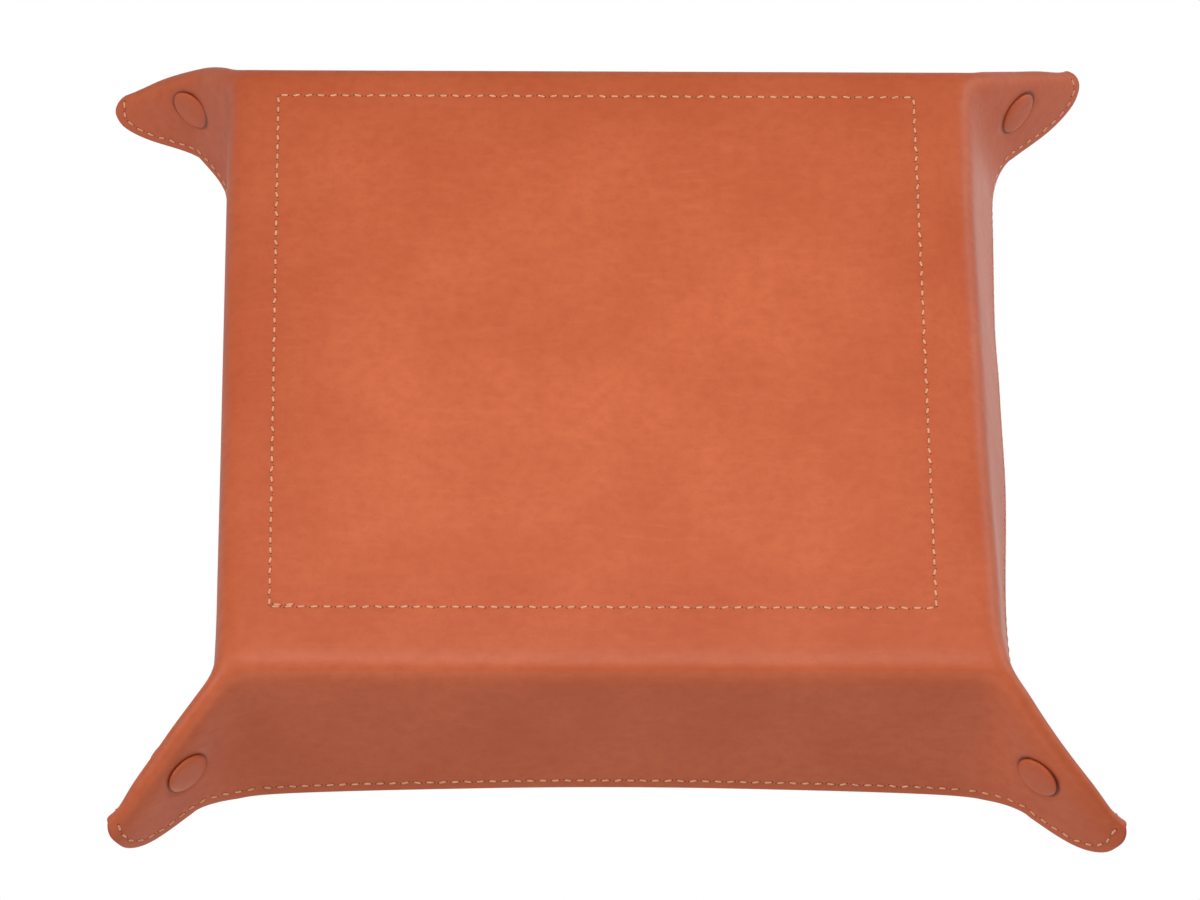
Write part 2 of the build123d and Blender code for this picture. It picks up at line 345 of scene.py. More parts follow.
def edge_distance(uv):
    """Distance in the flat sheet from its outline, and from the nearest snap."""
    au, av = -np.abs(uv[:, 0]), -np.abs(uv[:, 1])
    swap = av > au
    pu, pv = np.where(swap, av, au), np.where(swap, au, av)
    points = np.stack([pu, pv], 1)
    best = np.full(len(points), np.inf)
    for a, b in zip(RIM_LINE[:-1], RIM_LINE[1:]):
        step = b - a
        t = np.clip(((points - a) @ step) / (step @ step), 0, 1)
        best = np.minimum(best, np.linalg.norm(points - a - t[:, None] * step, axis=1))
    return best, np.linalg.norm(points - CAP_UV, axis=1)


def seam_distance(uv):
    """Signed distance in the flat sheet from the sewn square of the base, positive outside it."""
    return np.abs(uv - SEWN_CENTRE).max(1) - SEWN_HALF


# The board under the lining: how far it lifts it, where its edge is, and how wide the slope there is
BOARD_LIFT = 1.6
BOARD_EDGE = 92.3
BOARD_SLOPE = 3.0


def plateau(uv):
    """How far the board lifts the lining."""
    reach = np.maximum(np.abs(uv[:, 0]), np.abs(uv[:, 1]))
    return BOARD_LIFT * (1 - smoothstep((reach - BOARD_EDGE) / BOARD_SLOPE))


# The leather's pattern has a unit of 100 mm
PATTERN_SCALE = 0.01
# Lining lifted by more than this, and by less than the full lift by as much, is shaded as a slope
SLIGHT = 0.001


def make_mesh(name, uv, offsets, faces, skin_faces, flat_faces, lining=False):
    """A mesh on the sheet: flat places, offsets from the mid surface and faces as vertex lists."""
    place, normal = sheet_at(uv[:, 0], uv[:, 1])
    lift = plateau(uv) if lining else 0
    lifted = np.where(offsets < BETWEEN, offsets - lift, offsets)
    points = place + normal * lifted[:, None]
    mesh = bpy.data.meshes.new(name)
    mesh.from_pydata((points * MM).tolist(), [], faces)
    mesh.update()
    smooth = np.ones(len(faces), bool)
    smooth[flat_faces] = False
    mesh.polygons.foreach_set("use_smooth", smooth)
    loops = np.zeros(len(mesh.loops), np.int32)
    mesh.loops.foreach_get("vertex_index", loops)
    layer = mesh.uv_layers.new(name="flat")
    layer.data.foreach_set("uv", (uv[loops] * PATTERN_SCALE).astype(np.float32).ravel())
    rim, cap = edge_distance(uv)
    for key, values in (("rim_mm", rim), ("cap_mm", cap), ("seam_mm", seam_distance(uv))):
        attribute = mesh.attributes.new(key, "FLOAT", "POINT")
        attribute.data.foreach_set("value", values.astype(np.float32))
    corner_normals = np.zeros((len(loops), 3))
    counts = np.array([len(f) for f in faces])
    starts = np.concatenate([[0], np.cumsum(counts)[:-1]])
    sign = -1 if lining else 1
    for f in skin_faces:
        for k in range(starts[f], starts[f] + counts[f]):
            corner_normals[k] = normal[loops[k]] * sign
    if lining:
        moved = plateau(uv)[loops]
        corner_normals[(moved > SLIGHT) & (moved < BOARD_LIFT - SLIGHT)] = 0
    mesh.normals_split_custom_set(corner_normals.tolist())
    obj = bpy.data.objects.new(name, mesh)
    bpy.context.scene.collection.objects.link(obj)
    return obj


# Rows of a piece from its fold to its outline, rows of a wall's bend in the base, columns of a wall,
# and lines of the base's corners past a wall's end
ROWS = np.linspace(0, 1, 50)
LOWER_ROWS = 7
WALL_COLUMNS = np.linspace(1, -1, 141)
CORNER_LINES = 11
# The step in which the rim's slope is taken
SLOPE_STEP = 0.01


def wall_rim_normal(u):
    """Unit direction into the sheet, square to the front wall's rim."""
    slope = float(rim_at(u + SLOPE_STEP) - rim_at(u - SLOPE_STEP)) / (2 * SLOPE_STEP)
    normal = np.array([-slope, 1.0])
    return normal / np.linalg.norm(normal)


def wall_piece(name, k, edge, skin, lining):
    """A wall with its bend into the base, between the ears' creases."""
    turn = np.linalg.matrix_power(np.array([[0, -1], [1, 0]]), k)
    top_u = WALL_COLUMNS * (WALL_END + WALL_SPREAD)
    top = np.stack([top_u, rim_at(top_u)], 1)
    foot_u = WALL_COLUMNS * WALL_END
    foot = np.stack([foot_u, np.full_like(foot_u, -HALF)], 1)
    path = np.array([wall_rim_normal(u) for u in top_u])
    lower_v = np.linspace(-FOLD_START, -HALF, LOWER_ROWS)[:-1]
    main = [np.stack([foot_u, np.full_like(foot_u, v)], 1) for v in lower_v]
    upper = [foot + t * (top + path * edge[0][0] - foot) for t in ROWS]
    plain = [foot + t * (top - foot) for t in ROWS]
    return layered(name, main + upper, main + plain, top, path, edge, skin, turn, lining)


def ear_piece(name, turn, edge, skin, lining):
    """Half of an ear, from past its crease in the wall to the ridge, and up to the sheet's outline."""
    bottom = np.stack([np.linspace(-WALL_END, -HALF, OUTLINE_COUNT), np.full(OUTLINE_COUNT, -HALF)], 1)
    diagonal = np.array([1, 1]) / math.sqrt(2)
    path = inward(outline, first=wall_rim_normal(-WALL_END - WALL_SPREAD), last=diagonal)
    upper = [bottom + t * (outline + path * edge[0][0] - bottom) for t in ROWS]
    plain = [bottom + t * (outline - bottom) for t in ROWS]
    return layered(name, upper, plain, outline, path, edge, skin, turn, lining)


def layered(name, main, plain, top, path, edge, skin, turn, lining):
    """A closed layer of the sheet from rows of flat places, with its cut edge rounded along the top."""
    columns = len(top)
    rims = [top + path * d for d, _ in edge[1:]]
    back = plain[-2::-1]
    levels = main + rims + back
    heights = [skin] * len(main) + [o for _, o in edge[1:]] + [BETWEEN] * len(back)
    uv = np.concatenate(levels) @ np.array(turn, float).T
    offsets = np.repeat(heights, columns).astype(float)
    flip = (np.linalg.det(turn) < 0) != lining
    total = len(levels)
    faces, skin_faces, flat_faces = [], [], []

    def add(quad, kind):
        if kind == "skin":
            skin_faces.append(len(faces))
        if kind == "flat":
            flat_faces.append(len(faces))
        faces.append(quad[::-1] if flip else quad)

    for r in range(total):
        after = (r + 1) % total
        kind = "skin" if r < len(main) - 1 else "soft" if r < len(main) + len(rims) - 2 else "flat"
        for c in range(columns - 1):
            add([after * columns + c, after * columns + c + 1, r * columns + c + 1, r * columns + c], kind)
    pairs = len(main) - 1
    for c, as_is in ((0, True), (columns - 1, False)):
        ring = [r * columns + c for r in range(total)]
        for r in range(pairs):
            quad = [ring[r], ring[r + 1], ring[total - 2 - r], ring[total - 1 - r]]
            add(quad if as_is else quad[::-1], "flat")
        cap = ring[pairs : total - pairs]
        add(cap if as_is else cap[::-1], "flat")
    return make_mesh(name, uv, offsets, faces, skin_faces, flat_faces, lining)


def base_piece(name, skin, lining):
    """The base with its corners, up to where the walls' bends start."""
    middle = WALL_COLUMNS * WALL_END
    corner = np.linspace(WALL_END, HALF, CORNER_LINES)[1:]
    lines = np.concatenate([-corner[::-1], middle, corner])
    lines = np.sort(np.unique(np.concatenate([lines, [-FOLD_START, FOLD_START]])))
    count = len(lines)
    uu, vv = np.meshgrid(lines, lines, indexing="ij")
    flat = np.stack([uu.ravel(), vv.ravel()], 1)
    mid_u = (lines[1:] + lines[:-1]) / 2
    mu, mv = np.meshgrid(mid_u, mid_u, indexing="ij")
    over_u, over_v = np.abs(mu) > FOLD_START, np.abs(mv) > FOLD_START
    gone = (over_v & (np.abs(mu) < WALL_END)) | (over_u & (np.abs(mv) < WALL_END))
    cells = ~gone
    used = np.zeros((count, count), bool)
    for a in (0, 1):
        for b in (0, 1):
            used[a : count - 1 + a, b : count - 1 + b] |= cells
    number = -np.ones((count, count), int)
    number[used] = np.arange(used.sum())
    n = int(used.sum())
    uv = np.concatenate([flat[used.ravel()]] * 2)
    offsets = np.concatenate([np.full(n, skin), np.full(n, BETWEEN)])
    faces, skin_faces, flat_faces = [], [], []
    edges = {}
    for i, j in np.argwhere(cells):
        quad = [int(number[i, j]), int(number[i, j + 1]), int(number[i + 1, j + 1]), int(number[i + 1, j])]
        if lining:
            quad = quad[::-1]
        skin_faces.append(len(faces))
        faces.append(quad)
        for a, b in zip(quad, quad[1:] + quad[:1]):
            if (b, a) in edges:
                del edges[(b, a)]
            else:
                edges[(a, b)] = True
    for f in range(len(skin_faces)):
        flat_faces.append(len(faces))
        faces.append([a + n for a in faces[f]][::-1])
    for a, b in edges:
        flat_faces.append(len(faces))
        faces.append([b, a, a + n, b + n])
    return make_mesh(name, uv, offsets, faces, skin_faces, flat_faces, lining)


# Materials
def new_material(name, rough, spec, metallic=0.0):
    """A material with its tree and its shader."""
    material = bpy.data.materials.new(name)
    material.use_nodes = True
    tree = material.node_tree
    shader = tree.nodes["Principled BSDF"]
    shader.inputs["Roughness"].default_value = rough
    shader.inputs["Specular IOR Level"].default_value = spec
    shader.inputs["Metallic"].default_value = metallic
    return material, tree, shader


def link(tree, source, target):
    tree.links.new(source, target)


def node(tree, kind, **values):
    """A node with its inputs, or else its settings, given by name."""
    made = tree.nodes.new(kind)
    for key, value in values.items():
        if key in made.inputs:
            made.inputs[key].default_value = value
        else:
            setattr(made, key, value)
    return made


def math_node(tree, operation, *values):
    """The result of an operation on numbers and sockets."""
    made = tree.nodes.new("ShaderNodeMath")
    made.operation = operation
    for k, value in enumerate(values):
        if isinstance(value, (int, float)):
            made.inputs[k].default_value = value
        else:
            tree.links.new(value, made.inputs[k])
    return made.outputs[0]


def share(tree, factor, amount):
    """A factor cut down to a share of itself."""
    return math_node(tree, "MULTIPLY", factor, amount)


def rest_of(tree, factor):
    """What a factor leaves of one."""
    return math_node(tree, "SUBTRACT", 1.0, factor)


def mix_color(tree, factor, a, b):
    """Colour a, and colour b where the factor is one."""
    made = tree.nodes.new("ShaderNodeMix")
    made.data_type = "RGBA"
    for key, value in ((0, factor), (6, a), (7, b)):
        if isinstance(value, tuple):
            made.inputs[key].default_value = value
        else:
            tree.links.new(value, made.inputs[key])
    return made.outputs[2]


def noise(tree, vector, scale, detail=3.0, rough=0.5, distort=0.0):
    """Noise of 0 to 1 at the given places."""
    made = tree.nodes.new("ShaderNodeTexNoise")
    made.inputs["Scale"].default_value = scale
    made.inputs["Detail"].default_value = detail
    made.inputs["Roughness"].default_value = rough
    made.inputs["Distortion"].default_value = distort
    tree.links.new(vector, made.inputs["Vector"])
    return made.outputs["Fac"]


def ramp(tree, factor, low_at, high_at):
    """0 to 1 as the factor goes from low_at to high_at."""
    made = tree.nodes.new("ShaderNodeMapRange")
    made.interpolation_type = "SMOOTHSTEP"
    made.inputs["From Min"].default_value = low_at
    made.inputs["From Max"].default_value = high_at
    tree.links.new(factor, made.inputs["Value"])
    return made.outputs[0]


def linear(rgb):
    """An sRGB colour of 0 to 255 as linear values."""
    values = [c / 255 for c in rgb]
    return tuple(c / 12.92 if c <= 0.04045 else ((c + 0.055) / 1.055) ** 2.4 for c in values) + (1.0,)


def flat_place(tree):
    """Places in the flat sheet."""
    return node(tree, "ShaderNodeUVMap", uv_map="flat").outputs[0]


def object_place(tree):
    """Places in the piece's own space."""
    return node(tree, "ShaderNodeTexCoord").outputs["Object"]


def measure(tree, name):
    """A distance in millimetres that the mesh carries."""
    return node(tree, "ShaderNodeAttribute", attribute_name=name).outputs["Fac"]


# Reach of the leather's marks, in millimetres: the painted crease shade and the pressed ring round a snap's
# cap, from its middle; the painted shade that darkens the sheet from inside the sewn square outwards, from
# that square; the burnished edge, from the outline; and the grooves that the two seams draw, from the seams
CAP_CREASE_SHADE = (7.0, 8.2)
CAP_PRESSED = (6.9, 9.8)
PAINTED_EDGE_SHADE = (-34.0, 8.0)
BURNISHED = (0.15, 1.0)
RIM_GROOVE = (0.1, 1.5)
SQUARE_GROOVE = (0.1, 1.8)


def leather_material():
    """Tan leather: mottled, streaked and with pores; pressed round the snaps, with painted shade in that
    crease;
    darkened by painted shade from the sewn square outwards; and drawn in by its seams.
    """
    material, tree, shader = new_material("tan_leather", 0.46, 0.38)
    place = flat_place(tree)
    broad = noise(tree, place, 2.2, 4, 0.6)
    fine = noise(tree, place, 26.0, 5, 0.65)
    stretched = node(tree, "ShaderNodeMapping")
    stretched.inputs["Scale"].default_value = (9.0, 42.0, 1.0)
    link(tree, place, stretched.inputs["Vector"])
    streaks = noise(tree, stretched.outputs[0], 1.0, 4, 0.6, 0.3)
    pores = noise(tree, place, 150.0, 2, 0.5)
    tan = mix_color(tree, ramp(tree, broad, 0.3, 0.7), linear((199, 94, 52)), linear((210, 105, 63)))
    tan = mix_color(tree, share(tree, ramp(tree, fine, 0.35, 0.75), 0.35), tan, linear((180, 76, 38)))
    tan = mix_color(tree, share(tree, ramp(tree, streaks, 0.5, 0.8), 0.3), tan, linear((219, 118, 72)))
    tan = mix_color(tree, share(tree, ramp(tree, pores, 0.62, 0.72), 0.3), tan, linear((150, 62, 32)))
    rim, cap, seam_off = (measure(tree, name) for name in ("rim_mm", "cap_mm", "seam_mm"))
    # Painted shade: the crease round a snap's cap is darkened in its colour
    crease = rest_of(tree, ramp(tree, cap, *CAP_CREASE_SHADE))
    tan = mix_color(tree, share(tree, crease, 0.9), tan, linear((92, 35, 18)))
    # Painted shade: the sheet darkens from inside the sewn square outwards, as the light falls off towards
    # the edges
    tan = mix_color(tree, share(tree, ramp(tree, seam_off, *PAINTED_EDGE_SHADE), 0.22), tan, linear((158, 62, 32)))
    edge = rest_of(tree, ramp(tree, rim, *BURNISHED))
    tan = mix_color(tree, share(tree, edge, 0.55), tan, linear((150, 62, 34)))
    link(tree, tan, shader.inputs["Base Color"])
    rim_off = math_node(tree, "ABSOLUTE", math_node(tree, "SUBTRACT", rim, RIM_SEAM))
    rim_groove = rest_of(tree, ramp(tree, rim_off, *RIM_GROOVE))
    square_groove = rest_of(tree, ramp(tree, math_node(tree, "ABSOLUTE", seam_off), *SQUARE_GROOVE))
    groove = math_node(tree, "ADD", rim_groove, square_groove)
    coarse = noise(tree, place, 90.0, 4, 0.6)
    grain = math_node(tree, "ADD", share(tree, fine, 0.35), share(tree, coarse, 0.3))
    height = math_node(tree, "SUBTRACT", grain, share(tree, groove, 0.9))
    pressed = rest_of(tree, ramp(tree, cap, *CAP_PRESSED))
    height = math_node(tree, "SUBTRACT", height, share(tree, pressed, 5.0))
    bump = node(tree, "ShaderNodeBump", Strength=0.35, Distance=0.0002)
    link(tree, height, bump.inputs["Height"])
    link(tree, bump.outputs[0], shader.inputs["Normal"])
    shader.inputs["Sheen Weight"].default_value = 0.04
    shader.inputs["Sheen Roughness"].default_value = 0.45
    shader.inputs["Sheen Tint"].default_value = (1.0, 0.86, 0.8, 1)
    link(tree, math_node(tree, "ADD", 0.45, share(tree, fine, 0.12)), shader.inputs["Roughness"])
    return material


def lining_material():
    """The lining: the same leather, split, a little browner and more matt."""
    material, tree, shader = new_material("lining_leather", 0.62, 0.35)
    place = flat_place(tree)
    broad = noise(tree, place, 2.6, 4, 0.6)
    fine = noise(tree, place, 40.0, 5, 0.65)
    tan = mix_color(tree, ramp(tree, broad, 0.3, 0.7), linear((186, 110, 66)), linear((200, 126, 80)))
    tan = mix_color(tree, share(tree, ramp(tree, fine, 0.45, 0.8), 0.35), tan, linear((150, 84, 48)))
    link(tree, tan, shader.inputs["Base Color"])
    bump = node(tree, "ShaderNodeBump", Strength=0.4, Distance=0.0002)
    link(tree, fine, bump.inputs["Height"])
    link(tree, bump.outputs[0], shader.inputs["Normal"])
    shader.inputs["Sheen Weight"].default_value = 0.25
    shader.inputs["Sheen Roughness"].default_value = 0.5
    return material


def metal_material():
    """Nickel plate on the snaps, a little worn."""
    material, tree, shader = new_material("nickel", 0.28, 0.5, 1.0)
    wear = noise(tree, object_place(tree), 900.0, 3, 0.6)
    tone = mix_color(tree, wear, linear((176, 168, 152)), linear((214, 208, 196)))
    link(tree, tone, shader.inputs["Base Color"])
    link(tree, math_node(tree, "ADD", 0.2, share(tree, wear, 0.2)), shader.inputs["Roughness"])
    return material


def thread_material():
    """Pale waxed thread."""
    material, tree, shader = new_material("thread", 0.6, 0.4)
    twist = noise(tree, object_place(tree), 700.0, 2)
    tone = mix_color(tree, twist, linear((204, 136, 96)), linear((236, 182, 142)))
    link(tree, tone, shader.inputs["Base Color"])
    shader.inputs["Sheen Weight"].default_value = 0.2
    return material


def board_material():
    """Grey board between leather and lining."""
    material, tree, shader = new_material("grey_board", 0.85, 0.3)
    fibre = noise(tree, object_place(tree), 400.0, 4)
    tone = mix_color(tree, fibre, linear((118, 112, 104)), linear((144, 138, 128)))
    link(tree, tone, shader.inputs["Base Color"])
    return material


def hole_shade_material():
    """Painted shade in the needle holes: a dark brown that stands for the shade inside them."""
    material, tree, shader = new_material("needle_hole_shade", 0.8, 0.2)
    fray = noise(tree, object_place(tree), 900.0, 2)
    tone = mix_color(tree, fray, linear((122, 52, 28)), linear((150, 70, 42)))
    link(tree, tone, shader.inputs["Base Color"])
    return material


LEATHER = leather_material()
LINING = lining_material()
METAL = metal_material()
THREAD = thread_material()
BOARD = board_material()
PAINTED_HOLE_SHADE = hole_shade_material()


# The sheet's pieces, and the base on its body

# The two layers: name, cut edge, offset of its face, whether it is the lining, and material
LAYERS = (("leather", LEATHER_EDGE, OUTER, False, LEATHER), ("lining", LINING_EDGE, INNER, True, LINING))
# Walls in turn about the upright, and corners by the signs of x and y
WALLS = ["front", "right", "rear", "left"]
CORNERS = {"front_left": (-1, -1), "front_right": (1, -1), "rear_right": (1, 1), "rear_left": (-1, 1)}


def sheet_point(u, v):
    """Place and outward normal of the mid surface at one flat place."""
    place, normal = sheet_at(np.array([float(u)]), np.array([float(v)]))
    return place[0], normal[0]


# A span across an ear's crease: how far it reaches on each side of the crease, halfway up it
CREASE_REACH = 9.0
CREASE_LOW, CREASE_MIDDLE, CREASE_HIGH = 15, 30, 45


def crease_span(turn):
    """Ends of a span square to an ear half's crease, from in the wall to in the ear."""
    foot = np.array([-HALF + EAR_HALF_GAP * math.sqrt(2), -HALF])
    along = np.array([-math.tan(math.radians(45) - SECTOR), -1.0])
    along /= np.linalg.norm(along)
    across = np.array([along[1], -along[0]])

    def place(up, off):
        return sheet_point(*(np.array(turn, float) @ (foot + along * up + across * off)))[0]

    start, end = place(CREASE_MIDDLE, -CREASE_REACH), place(CREASE_MIDDLE, CREASE_REACH)
    low_at, high_at = place(CREASE_LOW, 0), place(CREASE_HIGH, 0)
    axis = (high_at - low_at) / np.linalg.norm(high_at - low_at)
    step = end - start
    step -= axis * (step @ axis)
    return tuple(start * MM), tuple((start + step) * MM)


# The wall that an ear half belongs to, by whether it is on a side wall and by its corner's sign
EAR_WALLS = {(False, -1): "front", (False, 1): "rear", (True, -1): "left", (True, 1): "right"}
ear_turns = {}
for layer, edge, skin, lining, material in LAYERS:
    base = base_piece(f"base_{layer}_sheet", skin, lining)
    base.data.materials.append(material)
    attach(base, "base")
    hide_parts(f"base_{layer}")
    for k, wall in enumerate(WALLS):
        piece = wall_piece(f"{wall}_wall_{layer}_sheet", k, edge, skin, lining)
        piece.data.materials.append(material)
        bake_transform(piece)
        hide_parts(f"{wall}_wall_{layer}")
    for corner, (sx, sy) in CORNERS.items():
        for swap in (False, True):
            wall = EAR_WALLS[(swap, sx if swap else sy)]
            turn = np.diag([-sx, -sy])
            if swap:
                turn = turn @ np.array([[0, 1], [1, 0]])
            piece = ear_piece(f"{corner}_ear_{wall}_{layer}_sheet", turn, edge, skin, lining)
            piece.data.materials.append(material)
            start, end = crease_span(turn)
            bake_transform(piece)
            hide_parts(f"{corner}_ear_{wall}_{layer}")
            ear_turns[(corner, wall)] = turn

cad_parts["base_board"].data.materials.clear()
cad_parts["base_board"].data.materials.append(BOARD)


# Covered caps and snap metal
def revolved(name, profile, segments, origin, normal):
    """A turned form: (radius, height) pairs about the outward normal at a place on the sheet."""
    z = Vector(normal).normalized()
    x = Vector((0, 0, 1)).cross(z).normalized()
    y = z.cross(x)
    points, faces = [], []
    for r, h in profile:
        for k in range(segments):
            a = 2 * math.pi * k / segments
            p = Vector(origin) + x * (r * math.cos(a)) + y * (r * math.sin(a)) + z * h
            points.append(tuple(p * MM))
    for i in range(len(profile) - 1):
        for k in range(segments):
            j = (k + 1) % segments
            faces.append([i * segments + k, i * segments + j, (i + 1) * segments + j, (i + 1) * segments + k])
    points.append(tuple((Vector(origin) + z * profile[-1][1]) * MM))
    centre = len(points) - 1
    last = (len(profile) - 1) * segments
    faces += [[last + k, last + (k + 1) % segments, centre] for k in range(segments)]
    mesh = bpy.data.meshes.new(name)
    mesh.from_pydata(points, [], faces)
    mesh.shade_smooth()
    mesh.update()
    index = np.zeros(len(mesh.loops), np.int32)
    mesh.loops.foreach_get("vertex_index", index)
    flat = np.array(points) / MM * PATTERN_SCALE
    mesh.uv_layers.new(name="flat").data.foreach_set("uv", flat[index][:, [0, 2]].astype(np.float32).ravel())
    for key in ("rim_mm", "cap_mm", "seam_mm"):
        attribute = mesh.attributes.new(key, "FLOAT", "POINT")
        attribute.data.foreach_set("value", [FAR_FROM_MARKS] * len(points))
    obj = bpy.data.objects.new(name, mesh)
    bpy.context.scene.collection.objects.link(obj)
    return obj


# Turned profiles of the snaps: (radius, height) from the leather's face outwards, or from the
# lining's face inwards
COVER_PROFILE = [(6.4, -0.3), (6.7, 0.0), (6.85, 0.3), (6.78, 0.58), (6.5, 0.82), (6.05, 1.0)]
COVER_PROFILE += [(5.3, 1.12), (4.4, 1.22), (3.2, 1.28), (1.8, 1.31), (0.7, 1.32)]
CAP_PROFILE = [(5.9, -0.2), (6.0, 0.2), (5.6, 0.5), (5.0, 0.62), (2.0, 0.78), (0.7, 0.8)]
SOCKET_PROFILE = [(6.0, -0.2), (6.0, 2.45), (5.85, 2.7), (5.6, 2.8), (3.7, 2.8), (3.5, 2.7)]
SOCKET_PROFILE += [(3.45, 2.5), (3.45, 2.3), (3.7, 1.8), (3.7, 0.7), (0.7, 0.7)]
STUD_PROFILE = [(5.4, -0.2), (5.4, 0.4), (5.2, 0.6), (2.7, 0.6), (2.5, 0.75), (2.5, 1.2)]
STUD_PROFILE += [(2.9, 1.4), (3.0, 1.6), (3.0, 1.9), (2.8, 2.15), (2.4, 2.2), (0.7, 2.2)]
SNAP_SEGMENTS = 64
# A snap's cover has the tone of the ears, their painted shade included, and lies this far from every seam,
# edge and crease, so that it takes no painted crease shade
FAR_FROM_MARKS = 30.0
for (corner, wall), turn in ear_turns.items():
    kind = "socket" if wall in ("left", "right") else "stud"
    body = f"{corner}_ear_{wall}"
    name = f"{corner}_snap_{kind}"
    place, normal = sheet_point(*(np.array(turn, float) @ CAP_UV))
    outside, inside = place + normal * OUTER, place + normal * INNER
    clasp_profile = SOCKET_PROFILE if kind == "socket" else STUD_PROFILE
    for node_name, profile_used, origin, facing, material, slot in (
        (f"{name}_cover", COVER_PROFILE, outside, normal, LEATHER, "leather"),
        (f"{name}_cap", CAP_PROFILE, outside, normal, METAL, "snap_metal"),
        (name, clasp_profile, inside, -normal, METAL, "snap_metal"),
    ):
        piece = revolved(f"{node_name}_turned", profile_used, SNAP_SEGMENTS, origin, facing)
        piece.data.materials.append(material)
        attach(piece, body)
        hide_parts(node_name)


# Stitches
SEAM_SIZES = {
    "Pitch": PITCH,
    "Stitch Length": STITCH_LENGTH,
    "Thread Radius": THREAD_RADIUS,
    "Hole Radius": HOLE_RADIUS,
}
# A stitch lies a little slanted, at random between these angles in radians
SLANT_LOW, SLANT_HIGH, SLANT_SEED = -0.3, 0.34, 7
# As shares of a radius: a thread's height, how far it is raised from the leather, and a hole's height
THREAD_FLATNESS, THREAD_RAISED, HOLE_FLATNESS = 0.8, 0.15, 0.12


def link_nodes(tree, source, output, target, entry):
    tree.links.new(source.outputs[output], target.inputs[entry])


def seam_tree(thread, hole):
    """Stitches along a line: threads with a needle hole of painted shade at each end, lying on the given
    normals.
    """
    tree = bpy.data.node_groups.new("stitched_seam", "GeometryNodeTree")
    face = tree.interface
    face.new_socket("Geometry", in_out="INPUT", socket_type="NodeSocketGeometry")
    for name, value in SEAM_SIZES.items():
        face.new_socket(name, in_out="INPUT", socket_type="NodeSocketFloat").default_value = value * MM
    face.new_socket("Geometry", in_out="OUTPUT", socket_type="NodeSocketGeometry")
    new = tree.nodes.new
    entry, result = new("NodeGroupInput"), new("NodeGroupOutput")
    curve, spaced = new("GeometryNodeMeshToCurve"), new("GeometryNodeResampleCurve")
    spaced.mode = "LENGTH"
    link_nodes(tree, entry, "Geometry", curve, "Mesh")
    link_nodes(tree, curve, 0, spaced, "Curve")
    link_nodes(tree, entry, "Pitch", spaced, "Length")
    tangent, normal = new("GeometryNodeInputTangent"), new("GeometryNodeInputNamedAttribute")
    normal.data_type = "FLOAT_VECTOR"
    normal.inputs["Name"].default_value = "seam_normal"
    axes = new("FunctionNodeAxesToRotation")
    axes.primary_axis, axes.secondary_axis = "Z", "X"
    tree.links.new(normal.outputs["Attribute"], axes.inputs[0])
    tree.links.new(tangent.outputs[0], axes.inputs[1])
    slant, turn = new("FunctionNodeRandomValue"), new("FunctionNodeAxisAngleToRotation")
    rotate = new("FunctionNodeRotateRotation")
    slant.data_type = "FLOAT"
    slant.inputs[2].default_value = SLANT_LOW
    slant.inputs[3].default_value = SLANT_HIGH
    slant.inputs["Seed"].default_value = SLANT_SEED
    rotate.rotation_space = "LOCAL"
    tree.links.new(slant.outputs[1], turn.inputs["Angle"])
    tree.links.new(axes.outputs[0], rotate.inputs[0])
    tree.links.new(turn.outputs[0], rotate.inputs[1])

    def arithmetic(operation, a, b):
        made = new("ShaderNodeMath")
        made.operation = operation
        for k, value in enumerate((a, b)):
            if isinstance(value, (int, float)):
                made.inputs[k].default_value = value
            else:
                tree.links.new(value, made.inputs[k])
        return made.outputs[0]

    def ball(segments, rings, size, offset):
        """A flattened ball: size and offset are lists of three sockets or numbers."""
        sphere, moved = new("GeometryNodeMeshUVSphere"), new("GeometryNodeTransform")
        sphere.inputs["Segments"].default_value = segments
        sphere.inputs["Rings"].default_value = rings
        sphere.inputs["Radius"].default_value = 1.0
        for target, values in (("Scale", size), ("Translation", offset)):
            vector = new("ShaderNodeCombineXYZ")
            for k, value in enumerate(values):
                if isinstance(value, (int, float)):
                    vector.inputs[k].default_value = value
                else:
                    tree.links.new(value, vector.inputs[k])
            tree.links.new(vector.outputs[0], moved.inputs[target])
        link_nodes(tree, sphere, "Mesh", moved, "Geometry")
        return moved.outputs[0]

    length, radius = entry.outputs["Stitch Length"], entry.outputs["Thread Radius"]
    hole_radius = entry.outputs["Hole Radius"]
    half = arithmetic("MULTIPLY", length, 0.5)
    flat = arithmetic("MULTIPLY", radius, THREAD_FLATNESS)
    raised = arithmetic("MULTIPLY", radius, THREAD_RAISED)
    strand = ball(14, 8, (half, radius, flat), (0, 0, raised))
    shallow = arithmetic("MULTIPLY", hole_radius, HOLE_FLATNESS)
    back = arithmetic("MULTIPLY", half, -1.0)
    hole_size = (hole_radius, hole_radius, shallow)
    # The needle holes are shallow discs in a dark colour of painted shade
    forms = [([strand], thread), ([ball(10, 5, hole_size, (end, 0, 0)) for end in (half, back)], hole)]
    joined = new("GeometryNodeJoinGeometry")
    for parts, material in forms:
        form = new("GeometryNodeJoinGeometry")
        for part in parts:
            tree.links.new(part, form.inputs[0])
        smooth, placed, real, painted = (
            new("GeometryNodeSetShadeSmooth"),
            new("GeometryNodeInstanceOnPoints"),
            new("GeometryNodeRealizeInstances"),
            new("GeometryNodeSetMaterial"),
        )
        painted.inputs["Material"].default_value = material
        link_nodes(tree, form, 0, smooth, 0)
        link_nodes(tree, spaced, 0, placed, "Points")
        link_nodes(tree, smooth, 0, placed, "Instance")
        link_nodes(tree, rotate, 0, placed, "Rotation")
        link_nodes(tree, placed, 0, real, 0)
        link_nodes(tree, real, 0, painted, "Geometry")
        link_nodes(tree, painted, 0, joined, 0)
    link_nodes(tree, joined, 0, result, 0)
    return tree


SEAM_TREE = seam_tree(THREAD, PAINTED_HOLE_SHADE)


